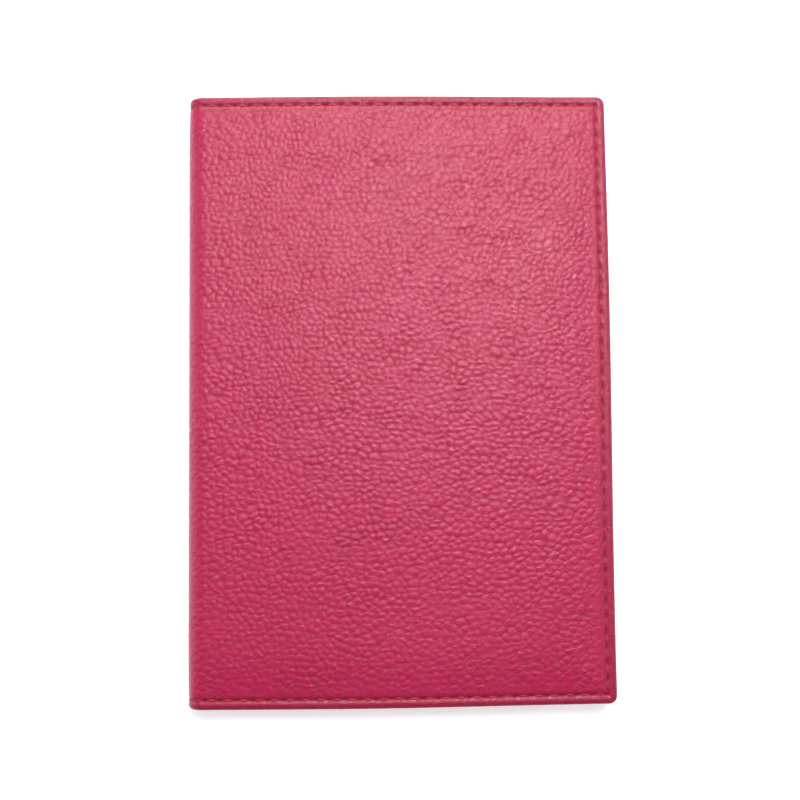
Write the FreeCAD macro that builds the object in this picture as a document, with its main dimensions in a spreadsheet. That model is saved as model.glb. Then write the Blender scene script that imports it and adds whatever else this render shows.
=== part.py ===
import FreeCAD, Part
import Sketcher
import os
import sys

# A passport holder lying closed on its back cover, front cover up.  Millimetres, +Z up, +Y towards
# the head of the covers, the spine at -X and the opening edge at +X.  The origin is the middle of
# the face it rests on.  "Depth" is always measured inwards from the outer face of a cover, so the
# back cover is built upwards from the ground and the front cover downwards from the top.

SIZES = (
    ("cover_width", 97.0, "closed, from the outside of the spine to the opening edge"),
    ("cover_height", 140.0, "along the spine"),
    ("closed_thickness", 9.6, "both covers and all the leaves between them"),
    ("corner_radius", 1.5, "corners at the opening edge"),
    ("pivot_depth", 1.0, "fold line, inwards from the spine and from the outer face"),
    ("fold_gap", 0.75, "from the fold line to the edge of a cover's leather"),
    ("leaf_gap", 1.9, "from the fold line to the inner layers of a cover"),
    ("leather", 1.0, "outer leather over the padding"),
    ("border_drop", 0.6, "how far the stitched border lies below the padded face"),
    ("border_base", 1.4, "depth of the inner face of the border leather"),
    ("border_width", 3.4, "flat border outside the padded face"),
    ("crown_width", 3.6, "slope from the border up to the padded face"),
    ("hem_depth", 2.2, "depth that the turned hem reaches"),
    ("hem_width", 4.6, "turned hem along three edges"),
    ("foam", 0.6, "foam sheet"),
    ("board", 0.6, "stiffener board"),
    ("fit_gap", 0.2, "between the hem and what lies inside it"),
    ("hollow_start", 1.0, "the hollow starts nearer the spine than the lining by this much"),
    ("board_start", 1.0, "foam and board start farther from the spine than the lining by this much"),
    ("lining", 0.3, "lining over hem and board"),
    ("lining_inset", 0.8, "edge of the lining inside the cover's edge"),
    ("leaf_inset", 1.2, "edge of the pocket leathers inside the cover's edge"),
    ("sleeve", 1.0, "passport sleeve, leather with its turned edges"),
    ("sleeve_reach", 66.0, "how far the sleeve reaches from the opening edge"),
    ("slip", 0.8, "full-height panel of the slip pocket"),
    ("slip_start", 1.6, "slip and card pockets start farther from the spine than the lining by this much"),
    ("pocket_space", 0.25, "hollow behind each pocket leather"),
    ("backing", 0.1, "thin backing cloth behind a pocket leather"),
    ("pocket_margin", 1.8, "sewn margin around a pocket"),
    ("card_leaf", 0.7, "each card pocket"),
    ("card_mouth", 30.0, "height of the rearmost card pocket's mouth above the middle"),
    ("card_step", 18.0, "from one card pocket's mouth down to the next"),
    ("seam_inset", 2.2, "stitching inside the edge"),
    ("seam_corner_gap", 0.6, "from the end of one row of stitches to the row across it"),
    ("stitch_pitch", 3.5, "from stitch to stitch"),
    ("stitch_length", 2.6, "visible length of one stitch"),
    ("thread", 0.6, "width of the thread"),
    ("thread_rise", 0.3, "height of a stitch on the leather"),
    ("spine_bow", 12.5, "radius of the outside of the spine, seen from its end"),
    ("spine_end", 1.3, "depth at which the spine strip ends"),
    ("spine_press", 0.35, "the spine's stitched ends are pressed down by this much"),
    ("tape", 0.4, "reinforcing tape behind the spine leather"),
    ("tape_end", 2.2, "depth at which tape and spine lining end"),
)

doc = FreeCAD.newDocument("PassportHolder")
sheet = doc.addObject("Spreadsheet::Sheet", "Sizes")
for row, (alias, value, note) in enumerate(SIZES, start=1):
    sheet.set(f"A{row}", alias)
    sheet.set(f"B{row}", str(value))
    sheet.set(f"C{row}", note)
    sheet.setAlias(f"B{row}", alias)
doc.recompute()

# Places that several pieces share, as expressions on the sheet.
OPENING_EDGE = "Sizes.cover_width / 2"
HEAD = "Sizes.cover_height / 2"
FOLD_X = "(Sizes.pivot_depth - Sizes.cover_width / 2)"
LEATHER_LEFT = f"{FOLD_X} + Sizes.fold_gap"
LEAF_LEFT = f"({FOLD_X} + Sizes.leaf_gap)"
SLEEVE_LEFT = f"({OPENING_EDGE} - Sizes.leaf_inset - Sizes.sleeve_reach)"
CARD_LEFT = f"({LEAF_LEFT} + Sizes.slip_start)"
SPINE_AXIS_X = "(Sizes.spine_bow - Sizes.cover_width / 2)"
SPINE_MID_Z = "Sizes.closed_thickness / 2"
LINING_FACE = "(Sizes.hem_depth + Sizes.lining)"
SLEEVE_FACE = f"({LINING_FACE} + Sizes.sleeve)"
SLIP_FACE = f"({LINING_FACE} + Sizes.slip)"
PAST = "1"  # a cutting shape reaches this far past what it cuts
SAME_PLACE = 0.01
PARALLEL = 1e-6

sub_parts = []


def plane_or_axis(body, role):
    """The body's own origin plane or axis with this role."""
    return next(feature for feature in body.Origin.OriginFeatures if feature.Role == role)


def new_body(label):
    """An empty PartDesign body whose label names the sub-part."""
    body = doc.addObject("PartDesign::Body", label)
    body.Label = label
    sub_parts.append(body)
    return body


def level_of(cover, near, far):
    """Height of the lower side of a layer that lies between two depths of a cover."""
    if cover == "back":
        return near
    return f"Sizes.closed_thickness - ({far})"


def rectangle(body, name, level, left, right, bottom, top):
    """A fully constrained rectangle sketch, parallel to the ground at a height."""
    sketch = body.newObject("Sketcher::SketchObject", name)
    sketch.AttachmentSupport = [(plane_or_axis(body, "XY_Plane"), "")]
    sketch.MapMode = "FlatFace"
    sketch.setExpression("AttachmentOffset.Base.z", level)
    corners = [FreeCAD.Vector(x, y, 0) for x, y in ((-1, -1), (1, -1), (1, 1), (-1, 1))]
    for side in range(4):
        sketch.addGeometry(Part.LineSegment(corners[side], corners[(side + 1) % 4]), False)
    for side in range(4):
        sketch.addConstraint(Sketcher.Constraint("Coincident", side, 2, (side + 1) % 4, 1))
    for side, direction in enumerate(("Horizontal", "Vertical", "Horizontal", "Vertical")):
        sketch.addConstraint(Sketcher.Constraint(direction, side))
    places = (("left", "DistanceX", 0, left), ("bottom", "DistanceY", 0, bottom),
              ("right", "DistanceX", 2, right), ("top", "DistanceY", 2, top))
    for edge, kind, line, value in places:
        index = sketch.addConstraint(Sketcher.Constraint(kind, -1, 1, line, 1, 1.0))
        sketch.renameConstraint(index, edge)
        sketch.setExpression(f"Constraints.{edge}", value)
    return sketch


def pad_rectangle(body, name, cover, near, far, left, right, bottom, top):
    """A plate between two depths of a cover."""
    level = level_of(cover, near, far)
    sketch = rectangle(body, f"{name}Sketch", level, left, right, bottom, top)
    pad = body.newObject("PartDesign::Pad", name)
    pad.Profile = sketch
    pad.setExpression("Length", f"({far}) - ({near})")
    return pad


def cut_rectangle(body, name, cover, near, far, left, right, bottom, top):
    """A rectangular hollow between two depths of a cover; stops if it removes nothing."""
    doc.recompute()
    before = body.Shape.Volume
    level = level_of(cover, near, far)
    sketch = rectangle(body, f"{name}Sketch", level, left, right, bottom, top)
    pocket = body.newObject("PartDesign::Pocket", name)
    pocket.Profile = sketch
    pocket.Reversed = True
    pocket.setExpression("Length", f"({far}) - ({near})")
    doc.recompute()
    if body.Shape.Volume >= before:
        sys.exit(f"{body.Label}: {name} cuts nothing")
    return pocket


def round_upright_edges(body, name, x_from):
    """Round the upright corner edges that lie beyond x_from."""
    doc.recompute()
    rounded = body.Tip
    found = []
    for number, edge in enumerate(rounded.Shape.Edges, start=1):
        ends = [vertex.Point for vertex in edge.Vertexes]
        upright = len(ends) == 2 and (ends[0] - ends[1]).cross(FreeCAD.Vector(0, 0, 1)).Length < PARALLEL
        at_corner = upright and ends[0].x > x_from and abs(ends[0].y) > rounded.Shape.BoundBox.YMax - SAME_PLACE
        if at_corner:
            found.append(f"Edge{number}")
    fillet = body.newObject("PartDesign::Fillet", name)
    fillet.Base = (rounded, found)
    fillet.setExpression("Radius", "Sizes.corner_radius")
    return fillet


def inset_box(inset, left=None):
    """Left, right, bottom and top of a plate set in from the edges of a cover."""
    right = f"{OPENING_EDGE} - ({inset})"
    top = f"{HEAD} - ({inset})"
    return (left or LEAF_LEFT, right, f"-({top})", top)


def outer_leather(cover):
    """The hide of one cover: a padded face, a pressed border and a hem turned in on three sides."""
    body = new_body(f"{cover}_outer_leather")
    outline = (LEATHER_LEFT, OPENING_EDGE, f"-({HEAD})", HEAD)
    pad_rectangle(body, "Border", cover, "Sizes.border_drop", "Sizes.border_base", *outline)
    pad_rectangle(body, "Hem", cover, "Sizes.border_base", "Sizes.hem_depth", *inset_box("0"))
    round_upright_edges(body, "Corners", 0)
    crown = body.newObject("PartDesign::AdditiveLoft", "Crown")
    foot_inset = "Sizes.border_width"
    face_inset = "Sizes.border_width + Sizes.crown_width"
    sections = []
    for name, depth, inset in (("CrownFoot", "Sizes.border_drop", foot_inset), ("CrownFace", "0", face_inset)):
        box = inset_box(inset, f"{LEATHER_LEFT} + ({inset}) / 2")
        sections.append(rectangle(body, name, level_of(cover, depth, depth), *box))
    crown.Profile = sections[0]
    crown.Sections = sections[1:]
    hollow = inset_box("Sizes.hem_width", f"{LEAF_LEFT} - Sizes.hollow_start")
    cut_rectangle(body, "Hollow", cover, "Sizes.leather", "Sizes.hem_depth", *hollow)


def hollow_sheet(label, cover, near, far):
    """A plain sheet that fills the hollow of the outer leather between two depths."""
    body = new_body(label)
    box = inset_box("Sizes.hem_width + Sizes.fit_gap", f"{LEAF_LEFT} + Sizes.board_start")
    pad_rectangle(body, "Sheet", cover, near, far, *box)


def lining(cover):
    """The thin lining that covers the board and the turned hem."""
    body = new_body(f"{cover}_lining")
    pad_rectangle(body, "Sheet", cover, "Sizes.hem_depth", LINING_FACE, *inset_box("Sizes.lining_inset"))


def pocket_leather(label, cover, near, far, left, bottom, top, open_sides):
    """A leather leaf with a shallow hollow behind it; the hollow runs out at the open sides."""
    body = new_body(label)
    right = f"{OPENING_EDGE} - Sizes.leaf_inset"
    pad_rectangle(body, "Leaf", cover, near, far, left, right, bottom, top)
    hollow_left = f"{left} - {PAST}" if "left" in open_sides else f"{left} + Sizes.pocket_margin"
    hollow_top = f"{top} + {PAST}" if "top" in open_sides else f"{top} - Sizes.pocket_margin"
    hollow = (hollow_left, f"{right} - Sizes.pocket_margin", f"{bottom} + Sizes.pocket_margin", hollow_top)
    deep = f"{near} + Sizes.pocket_space + Sizes.backing"
    cut_rectangle(body, "Hollow", cover, near, deep, *hollow)
    return hollow


def backing_cloth(label, cover, near, hollow, left, top):
    """Thin cloth glued to the hidden side of a pocket leather, inside its hollow."""
    body = new_body(label)
    shallow = f"{near} + Sizes.pocket_space"
    deep = f"{near} + Sizes.pocket_space + Sizes.backing"
    pad_rectangle(body, "Cloth", cover, shallow, deep, left, hollow[1], hollow[2], top)


def stitch_row(body, name, cover, depth, along, start, end, across):
    """One straight row of stitches on a face of a cover, patterned along X or Y."""
    half = "Sizes.stitch_length / 2"
    width = "Sizes.thread / 2"
    first = f"({start}) + Sizes.stitch_pitch / 2"
    if along == "X":
        box = (f"{first} - {half}", f"{first} + {half}", f"({across}) - {width}", f"({across}) + {width}")
    else:
        box = (f"({across}) - {width}", f"({across}) + {width}", f"{first} - {half}", f"{first} + {half}")
    near, far = depth
    pad = pad_rectangle(body, f"{name}Stitch", cover, near, far, *box)
    row = body.newObject("PartDesign::LinearPattern", name)
    row.Originals = [pad]
    row.Direction = (plane_or_axis(body, f"{along}_Axis"), [""])
    row.Mode = "Spacing"
    row.setExpression("Offset", "Sizes.stitch_pitch")
    row.setExpression("Occurrences", f"floor((({end}) - ({start})) / Sizes.stitch_pitch)")
    body.Tip = row


SEAM_X = f"({OPENING_EDGE} - Sizes.seam_inset)"
SEAM_Y = f"({HEAD} - Sizes.seam_inset)"


def needle_thread(cover):
    """The visible thread along the head, the tail and the opening edge of a cover."""
    body = new_body(f"{cover}_needle_thread")
    depth = ("Sizes.border_drop - Sizes.thread_rise", "Sizes.border_drop")
    end = f"{SEAM_X} - Sizes.seam_corner_gap"
    stitch_row(body, "Head", cover, depth, "X", LEAF_LEFT, end, SEAM_Y)
    stitch_row(body, "Tail", cover, depth, "X", LEAF_LEFT, end, f"-{SEAM_Y}")
    stitch_row(body, "Edge", cover, depth, "Y", f"-{SEAM_Y}", SEAM_Y, SEAM_X)


def on_face(face):
    """Depths of a stitch that lies on an inner face."""
    return (face, f"{face} + Sizes.thread_rise")


def back_bobbin_thread():
    """The inner thread of the back cover: on the lining, then on the passport sleeve."""
    body = new_body("back_bobbin_thread")
    end = f"{SEAM_X} - Sizes.seam_corner_gap"
    for name, across in (("Head", SEAM_Y), ("Tail", f"-{SEAM_Y}")):
        stitch_row(body, f"{name}Lining", "back", on_face(LINING_FACE), "X", LEAF_LEFT, SLEEVE_LEFT, across)
        stitch_row(body, f"{name}Sleeve", "back", on_face(SLEEVE_FACE), "X", SLEEVE_LEFT, end, across)
    stitch_row(body, "Edge", "back", on_face(SLEEVE_FACE), "Y", f"-{SEAM_Y}", SEAM_Y, SEAM_X)


def card_face(number):
    """Depth of the visible face of a card pocket, counted from the rearmost one, 0."""
    return f"({SLIP_FACE} + {number + 1} * Sizes.card_leaf)"


def card_top(number):
    """Height of the mouth of a card pocket."""
    return f"(Sizes.card_mouth - {number} * Sizes.card_step)"


def front_bobbin_thread(card_count):
    """The inner thread of the front cover, stepping down over the card pockets at the edge."""
    body = new_body("front_bobbin_thread")
    end = f"{SEAM_X} - Sizes.seam_corner_gap"
    lowest = on_face(card_face(card_count - 1))
    stitch_row(body, "Head", "front", on_face(SLIP_FACE), "X", f"{CARD_LEFT}", end, SEAM_Y)
    stitch_row(body, "Tail", "front", lowest, "X", CARD_LEFT, end, f"-{SEAM_Y}")
    stitch_row(body, "EdgeSlip", "front", on_face(SLIP_FACE), "Y", card_top(0), SEAM_Y, SEAM_X)
    for number in range(card_count):
        last = number == card_count - 1
        below = f"-{SEAM_Y}" if last else card_top(number + 1)
        face = on_face(card_face(number))
        stitch_row(body, f"EdgeCard{number}", "front", face, "Y", below, card_top(number), SEAM_X)


def card_seam_thread(card_count):
    """The thread that closes the card pockets on the side of the spine."""
    body = new_body("card_seam_thread")
    across = f"{CARD_LEFT} + Sizes.pocket_margin / 2"
    for number in range(card_count):
        last = number == card_count - 1
        below = f"-{HEAD} + Sizes.leaf_inset + Sizes.stitch_pitch" if last else card_top(number + 1)
        face = on_face(card_face(number))
        stitch_row(body, f"Card{number}", "front", face, "Y", below, card_top(number), across)


def sleeve_edge_thread():
    """The single row of stitches along the open edge of the passport sleeve."""
    body = new_body("sleeve_edge_thread")
    low = f"-{HEAD} + Sizes.leaf_inset + Sizes.stitch_pitch"
    across = f"{SLEEVE_LEFT} + Sizes.seam_inset"
    stitch_row(body, "Edge", "back", on_face(SLEEVE_FACE), "Y", low, f"-({low})", across)


def cylinder_along_y(name, radius, half_height):
    """A cylinder about the axis that the spine bows round."""
    cylinder = doc.addObject("Part::Cylinder", name)
    cylinder.setExpression("Radius", radius)
    cylinder.setExpression("Height", f"2 * ({half_height})")
    cylinder.Placement.Rotation = FreeCAD.Rotation(FreeCAD.Vector(1, 0, 0), 90)
    cylinder.setExpression("Placement.Base.x", SPINE_AXIS_X)
    cylinder.setExpression("Placement.Base.y", half_height)
    cylinder.setExpression("Placement.Base.z", SPINE_MID_Z)
    return cylinder


def bowed_shell(name, outer, inner, half_height):
    """A tube about the spine's bow axis, between two radii."""
    tube = doc.addObject("Part::Cut", name)
    tube.Base = cylinder_along_y(f"{name}Outer", outer, half_height)
    tube.Tool = cylinder_along_y(f"{name}Inner", inner, f"({half_height}) + {PAST}")
    return tube


def upright_box(name, low_z, high_z, low_y, high_y):
    """A box on the spine's side of the bow axis, between heights and places along the spine."""
    box = doc.addObject("Part::Box", name)
    box.setExpression("Length", "Sizes.spine_bow")
    box.setExpression("Width", f"({high_y}) - ({low_y})")
    box.setExpression("Height", f"({high_z}) - ({low_z})")
    box.setExpression("Placement.Base.x", "-Sizes.cover_width / 2")
    box.setExpression("Placement.Base.y", low_y)
    box.setExpression("Placement.Base.z", low_z)
    return box


def bowed_strip(name, outer, inner, end_depth, half_height):
    """A strip along the spine, bowed outwards, that ends at a depth below each cover's face."""
    strip = doc.addObject("Part::Common", name)
    strip.Base = bowed_shell(f"{name}Tube", outer, inner, half_height)
    far = f"Sizes.closed_thickness - {end_depth}"
    beyond = f"{half_height} + {PAST}"
    strip.Tool = upright_box(f"{name}Reach", end_depth, far, f"-({beyond})", beyond)
    return strip


SPINE_BASE = "Sizes.spine_bow - Sizes.spine_press"
SPINE_INNER = "Sizes.spine_bow - Sizes.leather"
TAPE_INNER = f"({SPINE_INNER} - Sizes.tape)"
SPINE_LINING_INNER = f"({TAPE_INNER} - Sizes.lining)"


def spine_leather():
    """The spine's hide: full thickness along the middle, pressed thinner at both stitched ends."""
    pressed = f"{HEAD} - Sizes.border_width"
    base = bowed_strip("SpineBase", SPINE_BASE, SPINE_INNER, "Sizes.spine_end", HEAD)
    raised = bowed_strip("SpineRaised", "Sizes.spine_bow", SPINE_BASE, "Sizes.spine_end", pressed)
    leather = doc.addObject("Part::MultiFuse", "spine_outer_leather")
    leather.Shapes = [base, raised]
    leather.Refine = True
    sub_parts.append(leather)


def spine_layer(label, outer, inner, inset):
    """A layer behind the spine leather."""
    strip = bowed_strip(label, outer, inner, "Sizes.tape_end", f"{HEAD} - {inset}")
    sub_parts.append(strip)


def spine_thread(label, outer, inner):
    """Two stitches at the head and two at the tail of the spine, curved to the bow."""
    stitches = []
    across = "Sizes.thread / 2"
    half = "Sizes.stitch_length / 2"
    for end, side in (("Head", ""), ("Tail", "-")):
        for name, offset in (("Low", "- Sizes.stitch_pitch / 2"), ("High", "+ Sizes.stitch_pitch / 2")):
            middle = f"{SPINE_MID_Z} {offset}"
            place = (f"{side}{SEAM_Y} - {across}", f"{side}{SEAM_Y} + {across}")
            stitches.append(upright_box(f"{label}{end}{name}", f"{middle} - {half}", f"{middle} + {half}", *place))
    reach = doc.addObject("Part::MultiFuse", f"{label}Reach")
    reach.Shapes = stitches
    thread = doc.addObject("Part::Common", label)
    thread.Base = bowed_shell(f"{label}Tube", outer, inner, HEAD)
    thread.Tool = reach
    sub_parts.append(thread)


def build_back():
    outer_leather("back")
    foam_face = "Sizes.leather + Sizes.foam"
    hollow_sheet("back_foam_pad", "back", "Sizes.leather", foam_face)
    hollow_sheet("back_stiffener_board", "back", foam_face, f"{foam_face} + Sizes.board")
    lining("back")
    low = f"-({HEAD} - Sizes.leaf_inset)"
    high = f"({HEAD} - Sizes.leaf_inset)"
    hollow = pocket_leather("passport_sleeve", "back", LINING_FACE, SLEEVE_FACE, SLEEVE_LEFT, low, high, "left")
    backing_left = f"{SLEEVE_LEFT} + Sizes.pocket_margin"
    backing_cloth("passport_sleeve_backing", "back", LINING_FACE, hollow, backing_left, hollow[3])
    needle_thread("back")
    back_bobbin_thread()
    sleeve_edge_thread()


def build_front(card_names):
    outer_leather("front")
    foam_face = "Sizes.leather + Sizes.foam"
    hollow_sheet("front_foam_pad", "front", "Sizes.leather", foam_face)
    hollow_sheet("front_stiffener_board", "front", foam_face, f"{foam_face} + Sizes.board")
    lining("front")
    low = f"-({HEAD} - Sizes.leaf_inset)"
    high = f"({HEAD} - Sizes.leaf_inset)"
    hollow = pocket_leather("slip_pocket_panel", "front", LINING_FACE, SLIP_FACE, CARD_LEFT, low, high, "left")
    backing_left = f"{CARD_LEFT} + Sizes.pocket_margin"
    backing_cloth("slip_pocket_backing", "front", LINING_FACE, hollow, backing_left, hollow[3])
    near = SLIP_FACE
    for number, name in enumerate(card_names):
        pocket_leather(name, "front", near, card_face(number), CARD_LEFT, low, card_top(number), "top")
        near = card_face(number)
    needle_thread("front")
    front_bobbin_thread(len(card_names))
    card_seam_thread(len(card_names))


def build_spine():
    spine_leather()
    spine_layer("spine_tape", SPINE_INNER, TAPE_INNER, "Sizes.seam_inset - Sizes.lining_inset")
    spine_layer("spine_lining", TAPE_INNER, SPINE_LINING_INNER, "Sizes.lining_inset")
    spine_thread("spine_needle_thread", f"{SPINE_BASE} + Sizes.thread_rise", SPINE_BASE)
    spine_thread("spine_bobbin_thread", SPINE_LINING_INNER, f"{SPINE_LINING_INNER} - Sizes.thread_rise")


def export_all():
    """Check every object of the document, then write one file per sub-part."""
    doc.recompute()
    for item in doc.Objects:
        if "Invalid" in item.State or "Error" in item.State:
            sys.exit(f"{item.Label}: {item.State}")
    for part in sub_parts:
        if part.Shape.isNull() or not part.Shape.isValid():
            sys.exit(f"{part.Label}: no valid shape")
    os.makedirs("parts", exist_ok=True)
    for part in sub_parts:
        box = part.Shape.BoundBox
        reach = f"x {box.XMin:7.2f} {box.XMax:7.2f}  y {box.YMin:7.2f} {box.YMax:7.2f}"
        rise = f"z {box.ZMin:6.2f} {box.ZMax:6.2f}"
        volume = f"{part.Shape.Volume:9.1f}"
        print(f"{part.Label:26s} solids {len(part.Shape.Solids):3d}  volume {volume}  {reach}  {rise}")
        part.Shape.exportStep(f"parts/{part.Label}.step")


build_back()
build_front(("card_pocket_upper", "card_pocket_middle", "card_pocket_lower"))
build_spine()
export_all()
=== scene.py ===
import math

import bpy
import numpy as np
from mathutils import Matrix, Vector


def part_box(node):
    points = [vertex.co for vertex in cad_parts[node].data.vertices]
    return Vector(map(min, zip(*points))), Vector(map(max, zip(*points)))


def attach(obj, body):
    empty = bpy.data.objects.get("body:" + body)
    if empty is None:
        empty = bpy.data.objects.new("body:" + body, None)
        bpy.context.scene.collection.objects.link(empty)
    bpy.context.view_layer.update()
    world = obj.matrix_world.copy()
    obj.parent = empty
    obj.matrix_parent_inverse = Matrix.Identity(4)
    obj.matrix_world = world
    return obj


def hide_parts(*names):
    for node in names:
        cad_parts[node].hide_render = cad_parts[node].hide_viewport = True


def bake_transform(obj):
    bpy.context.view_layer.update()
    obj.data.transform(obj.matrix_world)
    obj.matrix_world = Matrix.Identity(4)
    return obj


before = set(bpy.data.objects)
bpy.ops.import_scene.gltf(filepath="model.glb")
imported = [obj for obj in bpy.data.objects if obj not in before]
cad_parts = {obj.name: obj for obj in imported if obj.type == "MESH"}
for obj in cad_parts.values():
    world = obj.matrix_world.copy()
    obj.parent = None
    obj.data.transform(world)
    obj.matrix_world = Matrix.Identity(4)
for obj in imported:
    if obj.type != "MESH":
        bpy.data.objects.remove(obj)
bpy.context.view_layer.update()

# ---------------------------------------------------------------- sizes, in metres, from the frame
MM = 0.001
front_low, front_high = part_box("front_outer_leather")
CLOSED = front_high.z
HALF = CLOSED / 2
SPINE_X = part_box("spine_outer_leather")[0].x
EDGE_X = front_high.x
HEAD_Y = front_high.y
HEM_DEPTH = CLOSED - front_low.z
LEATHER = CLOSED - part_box("front_foam_pad")[1].z
LINING_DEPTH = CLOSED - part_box("front_lining")[0].z

BORDER_DROP = 0.6 * MM          # the pressed border lies this much below the padded face
SEAM = 2.2 * MM                 # stitching inside the edge
PITCH = 3.5 * MM
STITCH_GAP = 1.1 * MM           # between the ends of two stitches, where the needle went in
STITCH_DIP = 0.34 * MM          # the ends of a stitch go down by this much
THREAD_WIDTH = 0.56 * MM
THREAD_RISE = 0.46 * MM
THREAD_SUNK = 0.08 * MM         # the thread's middle under the bottom of the seam's channel
MOUTH_BOW = 0.14 * MM           # a pocket's mouth stands open by this much
CORNER = 1.9 * MM
CROWN_REACH = 12 * MM           # how far inside the seam the padding reaches its full height
CHANNEL = 0.12 * MM             # the seam is pulled in by this much
HEM_WIDTH = 5 * MM
HEM_STEP = 0.4 * MM             # the hem's raw edge falls off over this way
RIM_RADIUS = (HEM_DEPTH - BORDER_DROP) / 2
TAPE = 0.4 * MM
GLUE = 0.02 * MM
LINING_RISE = 3.5 * MM          # the lining climbs from the leather to the board over this way
SEAM_Y = HEAD_Y - SEAM
HOLE_LENGTH = 0.72 * MM         # a needle hole, drawn out along the seam by the thread; its painted shade stands also for the thread's shadow
HOLE_WIDTH = 0.28 * MM
HOLE_DEPTH = 0.28 * MM
CHANNEL_WIDTH = 0.50 * MM
LIP_RISE = 0.07 * MM            # the border stands up a little between the seam and the turned edge
LIP_INSIDE = 1.25 * MM
LIP_WIDTH = 0.35 * MM
PRESSED_GRAIN = 0.22            # share of the grain's relief that is left on the pressed border
SWELL_RISE = 0.10 * MM          # slow waves of the padded face
TAIL_FLATTER = 0.3              # the grain loses this share of its relief towards the tail

# ---------------------------------------------------------------- the cover's section
# Every piece of a cover is first made flat: X is the way along the leather from the middle of the
# spine to the opening edge, Y is the height along the spine, and Z is 0 on the outer face and
# negative inwards.  wrap() then rolls it round the spine and lays it on the front or back cover.
ROLL_POWER = 2.4                # 2 is a half circle, more is squarer
ROLL_STEPS = 600
ROLL_END_X = SPINE_X + HALF
roll_turn = np.linspace(0, math.pi / 2, ROLL_STEPS)
roll_line = HALF * np.stack([-np.cos(roll_turn), np.sin(roll_turn)])
roll_line = np.sign(roll_line) * HALF * np.abs(roll_line / HALF) ** (2 / ROLL_POWER)
roll_way = np.concatenate([[0], np.cumsum(np.hypot(*np.diff(roll_line)))])
roll_along = np.gradient(roll_line, roll_way, axis=1)
roll_along[:, 0] = (0, 1)
roll_along[:, -1] = (1, 0)
roll_along /= np.hypot(*roll_along)
ROLL_WAY = roll_way[-1]
COVER_WAY = ROLL_WAY + EDGE_X - ROLL_END_X
SHIFT = COVER_WAY - EDGE_X      # from a place on the flat cover to its way along the leather
BOARD_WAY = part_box("front_stiffener_board")[0].x + SHIFT


def section(way):
    """Place on the outer face and outward direction there, a way along the leather."""
    x = ROLL_END_X + np.interp(way, roll_way, roll_line[0]) + np.maximum(way - ROLL_WAY, 0)
    z = np.interp(way, roll_way, roll_line[1])
    out_x = -np.interp(way, roll_way, roll_along[1])
    out_z = np.interp(way, roll_way, roll_along[0])
    return x, z, out_x, out_z


def hand_cut(x, y):
    """The small waver of a hand-turned edge, for places in the plane of the cover."""
    waver_x = 0.20 * MM * np.sin(y / (23 * MM) + 0.6) * np.clip(x / EDGE_X, 0, 1)
    waver_y = 0.16 * MM * np.sin(x / (17 * MM) + 1.9) * (y / HEAD_Y)
    return x + waver_x, y + waver_y


def read_points(mesh):
    flat = np.zeros(len(mesh.vertices) * 3, np.float32)
    mesh.vertices.foreach_get("co", flat)
    return flat.reshape(-1, 3).astype(float)


def write_points(mesh, points):
    mesh.vertices.foreach_set("co", points.astype(np.float32).ravel())
    mesh.update()


def wrap(piece, cover):
    """Roll a flat-made piece round the spine onto its cover."""
    flat = read_points(piece.data)
    way, y, height = flat.T
    x, z, out_x, out_z = section(way)
    x = x + out_x * height
    z = z + out_z * height
    x, y = hand_cut(x, y)
    side = 1 if cover == "front" else -1
    write_points(piece.data, np.stack([x, y, HALF + side * z], axis=1))
    if side < 0:
        piece.data.flip_normals()
    return piece


# ---------------------------------------------------------------- modelling helpers
def deselect():
    if bpy.context.object and bpy.context.object.mode != "OBJECT":
        bpy.ops.object.mode_set(mode="OBJECT")
    bpy.ops.object.select_all(action="DESELECT")


def only(piece):
    """Make this piece the only one selected, and the active one."""
    deselect()
    piece.select_set(True)
    bpy.context.view_layer.objects.active = piece
    return piece


def join(name, pieces):
    joined = only(pieces[0])
    for piece in pieces[1:]:
        piece.select_set(True)
    if len(pieces) > 1:
        bpy.ops.object.join()
    joined.name = name
    return joined


SAME_POINT = 0.5e-6             # points nearer than this are one point


def merge_close(piece):
    only(piece)
    bpy.ops.object.mode_set(mode="EDIT")
    bpy.ops.mesh.select_all(action="SELECT")
    bpy.ops.mesh.remove_doubles(threshold=SAME_POINT)
    bpy.ops.object.mode_set(mode="OBJECT")
    return piece


def apply_modifiers(piece):
    only(piece)
    for modifier in list(piece.modifiers):
        bpy.ops.object.modifier_apply(modifier=modifier.name)
    return piece


def laid_grid(name, columns, rows, place):
    """A grid primitive whose columns and rows are moved to their places by a function."""
    deselect()
    bpy.ops.mesh.primitive_grid_add(x_subdivisions=len(columns) - 1, y_subdivisions=len(rows) - 1, size=2)
    piece = bpy.context.object
    piece.name = name
    flat = read_points(piece.data)
    column = np.rint((flat[:, 0] + 1) / 2 * (len(columns) - 1)).astype(int)
    row = np.rint((flat[:, 1] + 1) / 2 * (len(rows) - 1)).astype(int)
    write_points(piece.data, np.stack(place(columns[column], rows[row], column, row), axis=1))
    return piece


def select_odd_edges(wire=False, boundary=False):
    """In edit mode, select only the edges that have no face, or only one."""
    bpy.ops.mesh.select_mode(type="EDGE")
    bpy.ops.mesh.select_all(action="DESELECT")
    bpy.ops.mesh.select_non_manifold(extend=False, use_wire=wire, use_boundary=boundary,
                                     use_multi_face=False, use_non_contiguous=False, use_verts=False)


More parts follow.
